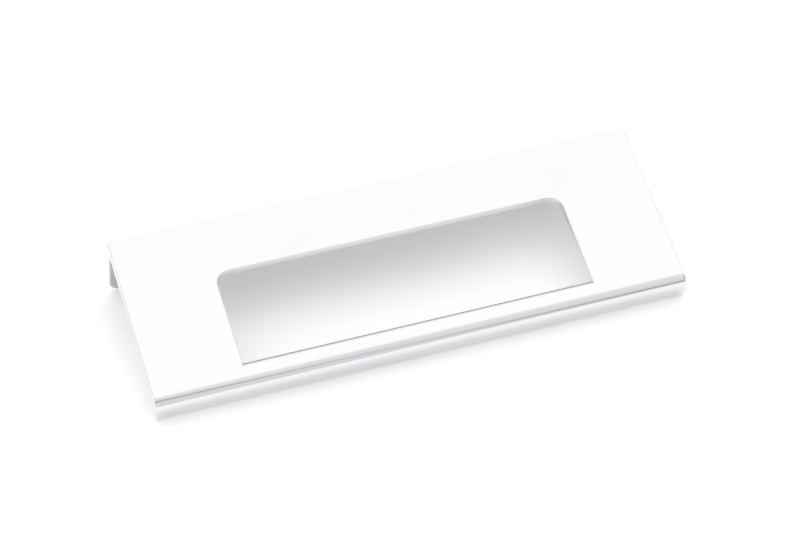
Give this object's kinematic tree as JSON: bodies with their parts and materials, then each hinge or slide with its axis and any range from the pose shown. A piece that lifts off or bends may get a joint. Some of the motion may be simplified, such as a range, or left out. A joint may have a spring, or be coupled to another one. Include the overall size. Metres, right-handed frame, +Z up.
{
  "type": "flush pull",
  "caption": "Chromed flush pull for a drawer or door edge: a flat plate with a finger window, a rolled grip bar along the front and a screw flange turned down behind.",
  "frame": {"origin": "on the floor under the middle of the pull's outline, as it lies unheld on the foot of its grip bar and the foot of its flange", "axes": "+X along the pull, +Y from the grip bar back to the flange, +Z up from the floor"},
  "size_m": [0.12, 0.0442, 0.0176],
  "materials": {
    "polished_chrome": "mirror polish"
  },
  "bodies": {
    "root": {"pull_body": "polished_chrome"}
  },
  "joints": []
}
